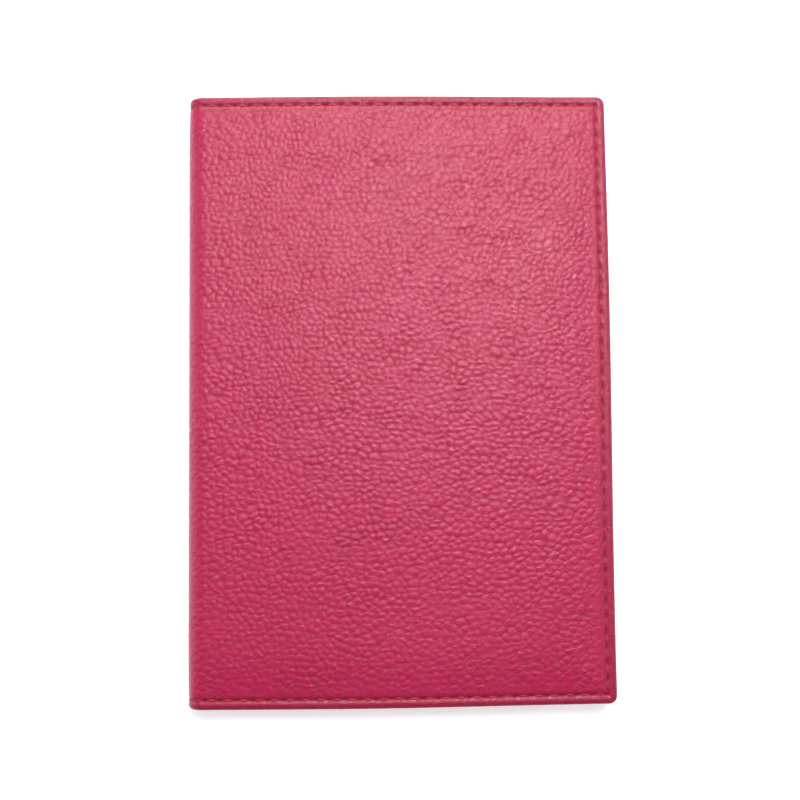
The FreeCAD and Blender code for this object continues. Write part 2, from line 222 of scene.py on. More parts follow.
def drop_inner_faces(piece, low, high):
    """Delete the faces whose middles are inside a rectangle, and the edges left without a face."""
    only(piece)
    bpy.ops.object.mode_set(mode="EDIT")
    bpy.ops.mesh.select_mode(type="FACE")
    bpy.ops.mesh.select_all(action="DESELECT")
    bpy.ops.object.mode_set(mode="OBJECT")
    centres = np.zeros(len(piece.data.polygons) * 3, np.float32)
    piece.data.polygons.foreach_get("center", centres)
    centres = centres.reshape(-1, 3)
    inside = ((centres[:, 0] > low[0]) & (centres[:, 0] < high[0])
              & (centres[:, 1] > low[1]) & (centres[:, 1] < high[1]))
    piece.data.polygons.foreach_set("select", inside)
    bpy.ops.object.mode_set(mode="EDIT")
    bpy.ops.mesh.delete(type="ONLY_FACE")
    select_odd_edges(wire=True)
    bpy.ops.mesh.delete(type="EDGE")
    bpy.ops.mesh.select_all(action="DESELECT")
    bpy.ops.object.mode_set(mode="OBJECT")
    return piece


def close_holes(piece):
    """Fill each open loop of the mesh with one face."""
    only(piece)
    bpy.ops.object.mode_set(mode="EDIT")
    select_odd_edges(boundary=True)
    bpy.ops.mesh.edge_face_add()
    bpy.ops.mesh.select_all(action="DESELECT")
    bpy.ops.object.mode_set(mode="OBJECT")
    return piece


def smooth(piece, angle):
    only(piece)
    bpy.ops.object.shade_smooth_by_angle(angle=math.radians(angle))
    return piece


def ease(value):
    """0 to 1 with level ends."""
    value = np.clip(value, 0, 1)
    return value * value * (3 - 2 * value)


def spaced(start, end, step):
    return np.linspace(start, end, max(2, int(round(abs(end - start) / step)) + 1))


# ---------------------------------------------------------------- the seam
def row_pitch(length):
    return length / round(length / PITCH)


HEAD_PITCH = row_pitch(COVER_WAY - SEAM)
EDGE_PITCH = row_pitch(2 * SEAM_Y)


def edge_distances(way, y):
    """Distance from the opening edge, from the nearer of head and tail, and from either."""
    from_edge = COVER_WAY - way
    from_end = HEAD_Y - np.abs(y)
    return from_edge, from_end, np.minimum(from_edge, from_end)


def corner_plan(way, y):
    """Round the two corners at the opening edge; returns the new place and the distance inside."""
    from_edge, from_end, inside = edge_distances(way, y)
    across = np.clip((CORNER - from_edge) / CORNER, 0, 1)
    up = np.clip((CORNER - from_end) / CORNER, 0, 1)
    reach = np.maximum(across, up)
    low = np.minimum(across, up)
    turn = math.pi / 4 * low / np.maximum(reach, 1e-9)
    turn = np.where(up > across, math.pi / 2 - turn, turn)
    in_corner = (across > 0) & (up > 0)
    new_way = np.where(in_corner, COVER_WAY - CORNER + CORNER * reach * np.cos(turn), way)
    new_end = HEAD_Y - CORNER + CORNER * reach * np.sin(turn)
    new_y = np.where(in_corner, np.sign(y) * new_end, y)
    inside = np.where(in_corner, CORNER * (1 - reach), inside)
    return new_way, new_y, inside


def hole_mask(way, y):
    """1 at the needle holes of the seam, 0 elsewhere."""
    from_edge, from_end, inside = edge_distances(way, y)
    on_edge_row = from_edge < from_end
    along = np.where(on_edge_row, (SEAM_Y - y) / EDGE_PITCH, (COVER_WAY - SEAM - way) / HEAD_PITCH)
    pitch = np.where(on_edge_row, EDGE_PITCH, HEAD_PITCH)
    off = (along - np.rint(along)) * pitch
    return np.exp(-(off / HOLE_LENGTH) ** 2 - ((inside - SEAM) / HOLE_WIDTH) ** 2)


# ---------------------------------------------------------------- leather grain
PEBBLE_WIDE = 1.50 * MM
PEBBLE_HIGH = 1.38 * MM
GRAIN_RISE = 0.27 * MM
TABLE_SIDE = 256                # random tables repeat after this many cells, more than a cover holds
TABLE_COUNT = 7                 # three for the pebbles, then bend across, bend up, clearness, long folds
SCATTER = 0.42                  # how far a pebble's centre strays, in shares of a cell
CREASE_WIDTH = 0.32             # also in shares of a cell
FOLD_DEPTH = 0.45
FOLD_WIDTH = 0.06


def soft_noise(x, y, table):
    """Smooth noise from a table of random values, one value to each whole step of x and y."""
    low_x, low_y = np.floor(x).astype(int), np.floor(y).astype(int)
    part_x, part_y = ease(x - low_x), ease(y - low_y)

    def corner(step_x, step_y):
        return table[(low_x + step_x) % TABLE_SIDE, (low_y + step_y) % TABLE_SIDE]

    lower = corner(0, 0) * (1 - part_x) + corner(1, 0) * part_x
    upper = corner(0, 1) * (1 - part_x) + corner(1, 1) * part_x
    return lower * (1 - part_y) + upper * part_y


def nearest_pebbles(x, y, tables):
    """Distances to the two nearest pebble centres, and the nearest one's own random value."""
    cell_x, cell_y = np.floor(x).astype(int), np.floor(y).astype(int)
    first = np.full(x.shape, 9.0)
    second = np.full(x.shape, 9.0)
    own = np.zeros(x.shape)
    for step_x in (-2, -1, 0, 1, 2):
        for step_y in (-1, 0, 1):
            column, row = cell_x + step_x, cell_y + step_y
            spot = column % TABLE_SIDE, row % TABLE_SIDE
            centre_x = column + 0.5 * (row % 2) + 0.5 + SCATTER * tables[0][spot]
            centre_y = row + 0.5 + SCATTER * tables[1][spot]
            distance = np.hypot(centre_x - x, centre_y - y)
            own = np.where(distance < first, tables[2][spot], own)
            second = np.minimum(second, np.maximum(first, distance))
            first = np.minimum(first, distance)
    return first, second, own


def grain_heights(way, y, seed):
    """Grain height, 0 in the creases to 1 on the pebbles; long to spine and tail, faint in the roll."""
    random = np.random.default_rng(seed)
    tables = random.uniform(-1, 1, (TABLE_COUNT, TABLE_SIDE, TABLE_SIDE))
    drawn = 1 + 0.30 * ease(0.5 - y / HEAD_Y) + 0.35 * ease(1 - way / (30 * MM))
    across, up = way / PEBBLE_WIDE / drawn + 40, y / PEBBLE_HIGH + 60
    bend_x = 0.5 * soft_noise(across / 2.9, up / 2.6, tables[3])
    bend_y = 0.5 * soft_noise(across / 2.6, up / 2.9, tables[4])
    near, second, own = nearest_pebbles(across + bend_x, up + bend_y, tables)
    clear = 0.84 + 0.26 * soft_noise(across / 2.3, up / 2.3, tables[5])
    crease = clear * np.clip(1 - (second - near) / CREASE_WIDTH, 0, 1) ** 1.3
    long_fold = np.abs(soft_noise(across / 5 + up / 9, up / 2.6, tables[6]))
    fold = FOLD_DEPTH * np.clip(1 - long_fold / FOLD_WIDTH, 0, 1)
    depth = 0.08 - 0.08 * own + 0.34 * near ** 2 + 0.78 * np.maximum(crease, fold)
    return 1 - depth * (0.45 + 0.55 * ease((way - 2 * MM) / (6 * MM)))


def border_drop(way):
    """How far the pressed border lies under the padded face; little where the hide rolls round."""
    return BORDER_DROP * (0.25 + 0.75 * ease((way - 2 * MM) / (7 * MM)))


def rim_rounding(inside):
    """How far a turned edge falls away from the face, a distance inside it."""
    rim = np.clip(1 - inside / RIM_RADIUS, 0, 1)
    return RIM_RADIUS * (1 - np.sqrt(1 - rim ** 2))


def outer_height(way, y, inside, grain):
    """Height of the leather's outer face over a flat cover, negative inwards."""
    crown = border_drop(way) * np.clip(1 - (inside - SEAM) / CROWN_REACH, 0, 1) ** 2
    channel = CHANNEL * np.exp(-((inside - SEAM) / CHANNEL_WIDTH) ** 2)
    lip = LIP_RISE * np.exp(-((inside - LIP_INSIDE) / LIP_WIDTH) ** 2)
    pit = HOLE_DEPTH * hole_mask(way, y)
    pressed = PRESSED_GRAIN + (1 - PRESSED_GRAIN) * ease((inside - 2.6 * MM) / (3 * MM))
    swell = SWELL_RISE * (np.sin(way / (31 * MM) + 1) * np.sin(y / (26 * MM) + 2) - 1)
    swell = swell * ease((inside - 4 * MM) / (20 * MM)) * ease((way - 9 * MM) / (12 * MM))
    tail_side = 1 - TAIL_FLATTER * ease((-y - 10 * MM) / (50 * MM))
    relief = GRAIN_RISE * (grain - 1) * pressed * tail_side
    return -rim_rounding(inside) - crown - channel + lip - pit + relief + swell


def lining_depth(way):
    """Depth of the lining's hidden face: near the leather in the roll, over the board beyond it."""
    at_roll = LEATHER + TAPE
    rise = ease((way - BOARD_WAY + LINING_RISE) / LINING_RISE)
    return at_roll + (HEM_DEPTH - at_roll) * rise


def inner_height(way, inside):
    """Height of the leather's inner face: the hem under the lining, the hollow for the padding."""
    hem = ease((HEM_WIDTH - inside) / HEM_STEP)
    return -LEATHER - (lining_depth(way) - GLUE - LEATHER) * hem + rim_rounding(inside)


def rim_stops():
    """Distances inside an edge that follow its rounding closely, then the seam."""
    angles = np.linspace(0, math.pi / 2, 6)
    round_stops = RIM_RADIUS * (1 - np.cos(angles))
    seam_stops = SEAM + np.array([-0.9, -0.6, -0.34, -0.12, 0.12, 0.34, 0.6, 0.95]) * MM
    return np.concatenate([round_stops, seam_stops])


FACE_STEP = 0.33 * MM


def leather_lines():
    """Columns and rows of the leather: close at the edges and the seam, even over the face."""
    stops = rim_stops()
    last_column = COVER_WAY - stops[-1] - FACE_STEP
    columns = np.concatenate([spaced(0, last_column, FACE_STEP), COVER_WAY - stops[::-1]])
    upper = HEAD_Y - stops[-1] - FACE_STEP
    rows = np.concatenate([-HEAD_Y + stops, spaced(-upper, upper, FACE_STEP), HEAD_Y - stops[::-1]])
    return columns, rows


def set_mask(piece, name, values):
    mask = piece.data.attributes.new(name, "FLOAT", "POINT")
    mask.data.foreach_set("value", values.astype(np.float32))


def leather_skin(cover, seed):
    """One cover's hide with its half of the spine: grained face, pressed seam, turned hem."""
    columns, rows = leather_lines()
    masks = {}

    def face(way, y, column, row):
        new_way, new_y, inside = corner_plan(way, y)
        # grain also sets where the material paints shade into the creases
        masks["grain"] = grain_heights(new_way, new_y, seed)
        # hole also places the painted shade of the needle holes
        masks["hole"] = hole_mask(way, y)
        # border sets where the material paints shade along the edge
        masks["border"] = 1 - ease((inside - 1.2 * MM) / (3.0 * MM))
        return new_way, new_y, outer_height(way, y, inside, masks["grain"])

    outer = laid_grid(f"{cover}_leather_face", columns, rows, face)
    for name, values in masks.items():
        set_mask(outer, name, values)
    rim_heights = read_points(outer.data)[:, 2]
    wall_columns = np.concatenate([columns[:1], columns])

    def hidden_side(way, y, column, row):
        new_way, new_y, inside = corner_plan(way, y)
        on_rim = (column == 0) | (column == len(columns)) | (row == 0) | (row == len(rows) - 1)
        above = row * len(columns) + np.maximum(column - 1, 0)
        height = np.where(on_rim, rim_heights[above], inner_height(way, inside))
        return new_way, new_y, height

    inner = laid_grid(f"{cover}_leather_inside", wall_columns, rows, hidden_side)
    inner.data.flip_normals()
    margin = HEM_WIDTH + HEM_STEP
    drop_inner_faces(inner, (ROLL_WAY + 5 * MM, -HEAD_Y + margin), (COVER_WAY - margin, HEAD_Y - margin))
    skin = close_holes(merge_close(join(f"{cover}_leather", [outer, inner])))
    wrap(skin, cover)
    return smooth(skin, 60)


# ---------------------------------------------------------------- stitches
PLY_TWIST = 1.6                 # radians from a stitch's middle to its end
PLY_VALLEY = 0.20               # how far the thread narrows between its two plies


def one_stitch(length):
    """A two-ply thread seen between two needle holes: full in the middle, dipping at its ends."""
    deselect()
    bpy.ops.mesh.primitive_uv_sphere_add(segments=10, ring_count=9, radius=1)
    stitch = bpy.context.object
    x, y, along = read_points(stitch.data).T
    twist = PLY_TWIST * along
    turn = np.arctan2(y, x) + twist
    full = np.where(np.hypot(x, y) > 1e-6, np.sqrt(np.maximum(1 - np.abs(along) ** 3.2, 0)), 0)
    radius = full * (1 - PLY_VALLEY * np.cos(2 * turn) ** 2)
    side = np.cos(turn - twist) * radius * THREAD_WIDTH / 2
    up = np.sin(turn - twist) * radius * THREAD_RISE / 2 - STITCH_DIP * np.abs(along) ** 3
    write_points(stitch.data, np.stack([along * length / 2, side, up], axis=1))
    return stitch


def stitch_row(name, count, pitch):
    """A straight row of stitches along X, starting at the origin."""
    stitch = one_stitch(pitch - STITCH_GAP)
    stitch.name = name
    only(stitch)
    bpy.ops.object.mode_set(mode="EDIT")
    bpy.ops.mesh.select_all(action="SELECT")
    bpy.ops.transform.translate(value=(pitch / 2, 0, 0))
    bpy.ops.object.mode_set(mode="OBJECT")
    array = stitch.modifiers.new("row", "ARRAY")
    array.count = count
    array.use_relative_offset = False
    array.use_constant_offset = True
    array.constant_offset_displace = (pitch, 0, 0)
    return apply_modifiers(stitch)


def end_rows(first, last):
    """Part of a cover's rows along head and tail, between two stitches counted from the spine."""
    return [((first * HEAD_PITCH, side * SEAM_Y), (1, 0), last - first, HEAD_PITCH) for side in (1, -1)]


END_COUNT = round((COVER_WAY - SEAM) / HEAD_PITCH)
EDGE_ROW = (COVER_WAY - SEAM, -SEAM_Y), (0, 1), round(2 * SEAM_Y / EDGE_PITCH), EDGE_PITCH


def sew(name, cover, rows, level, facing):
    """Rows of stitches, each laid straight between its two needle holes.

    level(way, y) gives the height of the face at a hole and the thickness of the leaves on it.  A
    stitch that crosses a leaf's edge comes out from under it.  facing is 1 for stitches seen from
    outside the cover and -1 for those seen from inside.
    """
    laid = []
    for start, direction, count, pitch in rows:
        row = stitch_row(name, count, pitch)
        along, across, rise = read_points(row.data).T
        first_end = np.floor(along / pitch) * pitch + STITCH_GAP / 2
        last_end = first_end + pitch - STITCH_GAP
        (first_face, first_pile), (last_face, last_pile) = (
            level(start[0] + end * direction[0], start[1] + end * direction[1])
            for end in (first_end, last_end))
        share = (along - first_end) / (pitch - STITCH_GAP)
        height = first_face + (last_face - first_face) * share - np.minimum(first_pile, last_pile)
        way = start[0] + along * direction[0] - across * direction[1]
        y = start[1] + along * direction[1] + across * direction[0]
        write_points(row.data, np.stack([way, y, height + facing * rise], axis=1))
        if facing < 0:
            row.data.flip_normals()
        laid.append(row)
    return smooth(wrap(join(name, laid), cover), 80)


def needle_thread(cover):
    """The outer thread of one cover, from the middle of the spine round three sides."""
    def in_channel(way, y):
        return -border_drop(way) - CHANNEL - THREAD_SUNK, 0

    return sew(f"{cover}_needle_stitches", cover, end_rows(0, END_COUNT) + [EDGE_ROW], in_channel, 1)


# ---------------------------------------------------------------- inner layers
LINING = LINING_DEPTH - HEM_DEPTH
GROOVE = 0.12 * MM              # pressed line round each pocket leather, under its stitches
GROOVE_INSIDE = SEAM - (EDGE_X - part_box("slip_pocket_panel")[1].x)
LEAVES = {
    "back": ["passport_sleeve"],
    "front": ["slip_pocket_panel", "card_pocket_upper", "card_pocket_middle", "card_pocket_lower"],
}
LEAF_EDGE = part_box("slip_pocket_panel")[0].x + SHIFT
# stitches that start before the leaf's edge are made as a piece of their own
FOLD_COUNT = math.ceil((LEAF_EDGE - STITCH_GAP / 2) / HEAD_PITCH)


def layer_box(cover, node):
    """A CAD node in flat terms: ways, heights along the spine, and depths under the outer face."""
    low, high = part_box(node)
    depths = (low.z, high.z) if cover == "back" else (CLOSED - high.z, CLOSED - low.z)
    return (low.x + SHIFT, high.x + SHIFT), (low.y, high.y), depths


def leaf_pile(cover, way, y):
    """How thick the pocket leathers lie on the lining at each place."""
    pile = np.zeros_like(way)
    for node in LEAVES[cover]:
        ways, heights, depths = layer_box(cover, node)
        over = (way > ways[0]) & (way < ways[1]) & (y > heights[0]) & (y < heights[1])
        pile = np.where(over, depths[1] - LINING_DEPTH, pile)
    return pile


def leaf_stops(start, end, step):
    """Places across a pocket leather, close together at the groove inside its two edges."""
    near = GROOVE_INSIDE + np.array([-0.4, -0.2, 0, 0.2, 0.4, 1.0]) * MM
    middle = spaced(start + near[-1] + step, end - near[-1] - step, step)
    return np.concatenate([[start], start + near, middle, end - near[::-1], [end]])


def leaf(name, ways, heights, depths, step, shape, stops=spaced):
    """A sheet between two depths with rounded edges, its points moved by shape(way, y, seen)."""
    def hidden_face(way, y, column, row):
        return way, y, np.full_like(way, -depths[0])

    piece = laid_grid(name, stops(*ways, step), stops(*heights, step), hidden_face)
    thickness = depths[1] - depths[0]
    thick = piece.modifiers.new("thickness", "SOLIDIFY")
    thick.thickness = thickness
    thick.offset = -1
    rounded = piece.modifiers.new("rounded edges", "BEVEL")
    rounded.width = 0.42 * thickness
    rounded.segments = 3
    rounded.angle_limit = math.radians(60)
    apply_modifiers(piece)
    points = read_points(piece.data)
    way, y, height = points.T
    points[:, 2] += shape(way, y, height < -depths[0] - thickness / 2)
    write_points(piece.data, points)
    return piece


def from_rim(way, y, ways, heights):
    """Distance inside the nearest edge of a leaf."""
    return np.minimum.reduce([way - ways[0], ways[1] - way, y - heights[0], heights[1] - y])


def fix_to_cover(piece, node, cover):
    """The piece moves with its cover and stands for one CAD node."""
    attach(piece, f"{cover}_cover")
    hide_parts(node)
    return piece


def pocket_leaf(node, cover, mouth):
    """A pocket leather in the place of its CAD node, a little bowed at its mouth."""
    ways, heights, depths = layer_box(cover, node)

    def bowed(way, y, seen):
        across = np.sin(math.pi * np.clip((way - ways[0]) / (ways[1] - ways[0]), 0, 1))
        up = np.sin(math.pi * np.clip((y - heights[0]) / (heights[1] - heights[0]), 0, 1))
        from_mouth, width = (heights[1] - y, across) if mouth == "head" else (way - ways[0], up)
        bow = MOUTH_BOW * ease(1 - from_mouth / (24 * MM)) * width
        inside = from_rim(way, y, ways, heights)
        groove = GROOVE * np.exp(-((inside - GROOVE_INSIDE) / (0.25 * MM)) ** 2)
        return groove * seen - bow

    sheet = leaf(f"{node}_leather", ways, heights, depths, 1.6 * MM, bowed, leaf_stops)
    return fix_to_cover(smooth(wrap(sheet, cover), 60), node, cover)


def lining_sheet(cover):
    """The lining of one cover with its half of the spine's lining."""
    (_, end), heights, _ = layer_box(cover, f"{cover}_lining")

    def follow(way, y, seen):
        return HEM_DEPTH - lining_depth(way)

    piece = leaf(f"{cover}_lining_cloth", (0.0, end), heights, (HEM_DEPTH, LINING_DEPTH), 1.2 * MM, follow)
    smooth(wrap(piece, cover), 60)
    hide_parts(f"{cover}_lining", "spine_lining")
    bend_with_spine(piece, cover)
    return piece


def still(way, y, seen):
    """The shape of a leaf that lies flat."""
    return np.zeros_like(way)


def backing_sheet(node, cover):
    """The cloth behind a pocket."""
    ways, heights, depths = layer_box(cover, node)
    piece = smooth(wrap(leaf(f"{node}_cloth", ways, heights, depths, 4 * MM, still), cover), 60)
    fix_to_cover(piece, node, cover)
    return piece


def tape_half(cover):
    """One cover's half of the woven tape, glued to the hide inside the roll."""
    low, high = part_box("spine_tape")
    depths = (LEATHER + GLUE, LEATHER + TAPE - GLUE)
    half_width = (high.z - low.z) / 2
    end = HEAD_Y - HEM_WIDTH - HEM_STEP
    tape = leaf(f"{cover}_spine_tape_cloth", (0.0, half_width), (-end, end), depths, 1.0 * MM, still)
    smooth(wrap(tape, cover), 60)
    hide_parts("spine_tape")
    bend_with_spine(tape, cover)
    return tape


def foam_pad(cover):
    """The foam sheet between the leather and the board."""
    node = f"{cover}_foam_pad"
    ways, heights, depths = layer_box(cover, node)
    piece = smooth(wrap(leaf(f"{cover}_padding", ways, heights, depths, 4 * MM, still), cover), 60)
    fix_to_cover(piece, node, cover)
    return piece


def bend_with_spine(piece, cover):
    """Bake the piece's transform into its points, alike for both covers."""
    if cover == "front":
        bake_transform(piece)
    else:
        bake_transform(piece)


def inner_stitches(name, cover, rows):
    """Stitches that lie on whatever face is innermost under each of them."""
    def on_face(way, y):
        return -lining_depth(way) - LINING, leaf_pile(cover, way, y)

    return sew(name, cover, rows, on_face, -1)


def bobbin_thread(cover):
    """The inner thread of one cover: its first stitches, up to the leaf's edge, are a piece of their own;
    the others move with the cover.
    """
    bending = inner_stitches(f"{cover}_spine_bobbin_stitches", cover, end_rows(0, FOLD_COUNT))
    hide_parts("spine_bobbin_thread")
    bend_with_spine(bending, cover)
    flat_rows = end_rows(FOLD_COUNT, END_COUNT) + [EDGE_ROW]
    flat = inner_stitches(f"{cover}_bobbin_stitches", cover, flat_rows)
    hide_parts(f"{cover}_bobbin_thread")
    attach(flat, f"{cover}_cover")
    return [bending, flat]


def upright_row(node, cover):
    """A single row along the spine's direction, in the place of its CAD node."""
    low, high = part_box(node)
    count = round((high.y - low.y) / PITCH)
    row = ((low.x + high.x) / 2 + SHIFT, low.y), (0, 1), count, (high.y - low.y) / count
    return fix_to_cover(inner_stitches(f"{node}_stitches", cover, [row]), node, cover)


# ---------------------------------------------------------------- materials
def srgb(red, green, blue):
    """A colour given as it looks on a screen, 0 to 255, as linear values."""
    values = [channel / 255 for channel in (red, green, blue)]
    return [v / 12.92 if v <= 0.04045 else ((v + 0.055) / 1.055) ** 2.4 for v in values] + [1]


class Nodes:
    """A short way to add linked nodes to one material or group."""

    def __init__(self, tree):
        self.tree = tree

    def add(self, kind, inputs=(), **settings):
        node = self.tree.nodes.new(kind)
        for key, value in settings.items():
            setattr(node, key, value)
        for key, value in dict(inputs).items():
            if isinstance(value, bpy.types.NodeSocket):
                self.tree.links.new(value, node.inputs[key])
            else:
                node.inputs[key].default_value = value
        return node

    def math(self, operation, first, second, clamp=False):
        node = self.add("ShaderNodeMath", {0: first, 1: second}, operation=operation, use_clamp=clamp)
        return node.outputs[0]

    def ramp(self, value, low, high):
        node = self.add("ShaderNodeMapRange", {"Value": value, "From Min": low, "From Max": high})
        return node.outputs["Result"]

    def mix(self, factor, first, second):
        node = self.add("ShaderNodeMix", data_type="RGBA")
        for index, value in ((0, factor), (6, first), (7, second)):
            if isinstance(value, bpy.types.NodeSocket):
                self.tree.links.new(value, node.inputs[index])
            else:
                node.inputs[index].default_value = value
        return node.outputs[2]


def material_with_nodes(name):
    material = bpy.data.materials.new(name)
    material.use_nodes = True
    shader = material.node_tree.nodes["Principled BSDF"]
    return material, Nodes(material.node_tree), shader


def connect(nodes, shader, **sockets):
    for name, socket in sockets.items():
        nodes.tree.links.new(socket, shader.inputs[name.replace("_", " ")])


def hide_detail_group():
    """Fine creases and pores of a hide: a height in 0 to 1 and a patchy tone."""
    group = bpy.data.node_groups.new("hide_detail", "ShaderNodeTree")
    group.interface.new_socket("Vector", in_out="INPUT", socket_type="NodeSocketVector")
    group.interface.new_socket("Crease Scale", in_out="INPUT", socket_type="NodeSocketFloat")
    group.interface.new_socket("Height", in_out="OUTPUT", socket_type="NodeSocketFloat")
    group.interface.new_socket("Tone", in_out="OUTPUT", socket_type="NodeSocketFloat")
    nodes = Nodes(group)
    start = nodes.add("NodeGroupInput")
    place, scale = start.outputs["Vector"], start.outputs["Crease Scale"]
    drift = nodes.add("ShaderNodeTexNoise", {"Vector": place, "Scale": 420.0, "Detail": 2.0})
    pushed = nodes.add("ShaderNodeVectorMath", {0: drift.outputs["Color"], "Scale": 0.0012},
                       operation="SCALE")
    moved = nodes.add("ShaderNodeVectorMath", {0: place, 1: pushed.outputs[0]}, operation="ADD")
    cells = nodes.add("ShaderNodeTexVoronoi", {"Vector": moved.outputs[0], "Scale": scale},
                      feature="DISTANCE_TO_EDGE")
    crease = nodes.ramp(cells.outputs["Distance"], 0.0, 0.16)
    pores = nodes.add("ShaderNodeTexNoise",
                      {"Vector": place, "Scale": 5200.0, "Detail": 3.0, "Roughness": 0.6})
    crease_rise = nodes.math("MULTIPLY", crease, 0.7)
    pore_rise = nodes.math("MULTIPLY", pores.outputs[0], 0.45)
    height = nodes.math("ADD", crease_rise, pore_rise)
    patches = nodes.add("ShaderNodeTexNoise", {"Vector": place, "Scale": 55.0, "Detail": 4.0})
    end = nodes.add("NodeGroupOutput")
    group.links.new(height, end.inputs["Height"])
    group.links.new(patches.outputs[0], end.inputs["Tone"])
    return group


HIDE_DETAIL = hide_detail_group()


def add_bump(nodes, height, distance):
    return nodes.add("ShaderNodeBump", {"Height": height, "Distance": distance}).outputs[0]


def hide_detail(nodes, crease_scale):
    coordinates = nodes.add("ShaderNodeTexCoord")
    detail = nodes.add("ShaderNodeGroup", node_tree=HIDE_DETAIL)
    nodes.tree.links.new(coordinates.outputs["Object"], detail.inputs["Vector"])
    detail.inputs["Crease Scale"].default_value = crease_scale
    return detail


ROSE = srgb(184, 22, 74)
# the deep rose of painted shade: creases and pores of both leathers, and the darker border
ROSE_DEEP_SHADE = srgb(150, 4, 48)
ROSE_LIGHT = srgb(198, 38, 92)
NEEDLE_HOLE_SHADE = srgb(138, 0, 34)


def outer_leather_material():
    """Pebbled hide: lighter pebbles, painted shade in the creases and needle holes, a smoother pressed
    border.
    """
    material, nodes, shader = material_with_nodes("rose_pebbled_leather")
    grain = nodes.add("ShaderNodeAttribute", attribute_name="grain").outputs["Fac"]
    hole = nodes.add("ShaderNodeAttribute", attribute_name="hole").outputs["Fac"]
    border = nodes.add("ShaderNodeAttribute", attribute_name="border").outputs["Fac"]
    detail = hide_detail(nodes, 1500.0)
    on_pebble = nodes.ramp(grain, 0.0, 0.8)
    # painted shade: the creases between the pebbles are coloured deep rose
    colour = nodes.mix(on_pebble, ROSE_DEEP_SHADE, ROSE)
    tone = nodes.ramp(detail.outputs["Tone"], 0.35, 0.7)
    colour = nodes.mix(nodes.math("MULTIPLY", tone, 0.12), colour, ROSE_LIGHT)
    # painted shade: the border is coloured deeper rose towards the turned edge, where it falls away from the
    # light
    colour = nodes.mix(nodes.math("MULTIPLY", border, 0.60), colour, ROSE_DEEP_SHADE)
    # painted shade: the needle holes are coloured dark crimson
    colour = nodes.mix(nodes.math("MULTIPLY", hole, 1.2, clamp=True), colour, NEEDLE_HOLE_SHADE)
    rough = nodes.ramp(grain, 0.2, 0.9)
    rough = nodes.math("SUBTRACT", 0.62, nodes.math("MULTIPLY", rough, 0.30))
    rough = nodes.math("ADD", rough, nodes.math("MULTIPLY", detail.outputs["Tone"], 0.06))
    rough = nodes.math("ADD", rough, nodes.math("MULTIPLY", hole, 0.4), clamp=True)
    bump = add_bump(nodes, detail.outputs["Height"], 0.035 * MM)
    shader.inputs["Specular IOR Level"].default_value = 0.6
    connect(nodes, shader, Base_Color=colour, Roughness=rough, Normal=bump)
    return material


def pocket_leather_material():
    """The thinner leather of the pockets: the same colour with a finer grain, and painted shade in its
    creases and pores.
    """
    material, nodes, shader = material_with_nodes("rose_fine_leather")
    detail = hide_detail(nodes, 900.0)
    crease = nodes.ramp(detail.outputs["Height"], 0.3, 0.95)
    # painted shade: creases and pores are coloured deep rose
    colour = nodes.mix(crease, ROSE_DEEP_SHADE, ROSE)
    colour = nodes.mix(nodes.math("MULTIPLY", detail.outputs["Tone"], 0.4), colour, ROSE_LIGHT)
    rough = nodes.math("SUBTRACT", 0.60, nodes.math("MULTIPLY", crease, 0.12))
    bump = add_bump(nodes, detail.outputs["Height"], 0.07 * MM)
    connect(nodes, shader, Base_Color=colour, Roughness=rough, Normal=bump)
    return material


def rib_scale(pitch):
    """The Wave texture's scale for ribs at a pitch; it turns once in pi / 10 of its own length."""
    return math.pi / (10 * pitch)


def cloth_material(name, dark, light, rib_pitch):
    """Twill: fine diagonal ribs crossed by the weft, with painted shade in the hollows between the ribs."""
    material, nodes, shader = material_with_nodes(name)
    place = nodes.add("ShaderNodeTexCoord").outputs["Object"]
    turned = nodes.add("ShaderNodeMapping", {"Vector": place, "Rotation": (0, 0, math.radians(58))})
    ribs = nodes.add("ShaderNodeTexWave", {"Vector": turned.outputs[0], "Scale": rib_scale(rib_pitch),
                                           "Distortion": 0.6, "Detail": 1.0})
    weft = nodes.add("ShaderNodeTexWave", {"Vector": place, "Scale": rib_scale(0.7 * rib_pitch)},
                     bands_direction="Y")
    height = nodes.math("MULTIPLY", ribs.outputs["Fac"], nodes.ramp(weft.outputs["Fac"], -0.6, 1.0))
    patches = nodes.add("ShaderNodeTexNoise", {"Vector": place, "Scale": 90.0})
    # painted shade: the hollows between the ribs take the dark colour
    colour = nodes.mix(height, dark, light)
    colour = nodes.mix(nodes.math("MULTIPLY", patches.outputs[0], 0.3), colour, dark)
    shader.inputs["Roughness"].default_value = 0.9
    connect(nodes, shader, Base_Color=colour, Normal=add_bump(nodes, height, 0.05 * MM))
    return material


def thread_material():
    """Bonded thread with fine fibres."""
    material, nodes, shader = material_with_nodes("rose_thread")
    place = nodes.add("ShaderNodeTexCoord").outputs["Object"]
    fibre = nodes.add("ShaderNodeTexNoise", {"Vector": place, "Scale": 6500.0, "Detail": 2.0})
    tone = nodes.add("ShaderNodeTexNoise", {"Vector": place, "Scale": 300.0})
    colour = nodes.mix(fibre.outputs[0], srgb(158, 6, 48), srgb(196, 30, 76))
    colour = nodes.mix(nodes.math("MULTIPLY", tone.outputs[0], 0.3), colour, srgb(146, 4, 42))
    shader.inputs["Roughness"].default_value = 0.6
    connect(nodes, shader, Base_Color=colour, Normal=add_bump(nodes, fibre.outputs[0], 0.03 * MM))
    return material


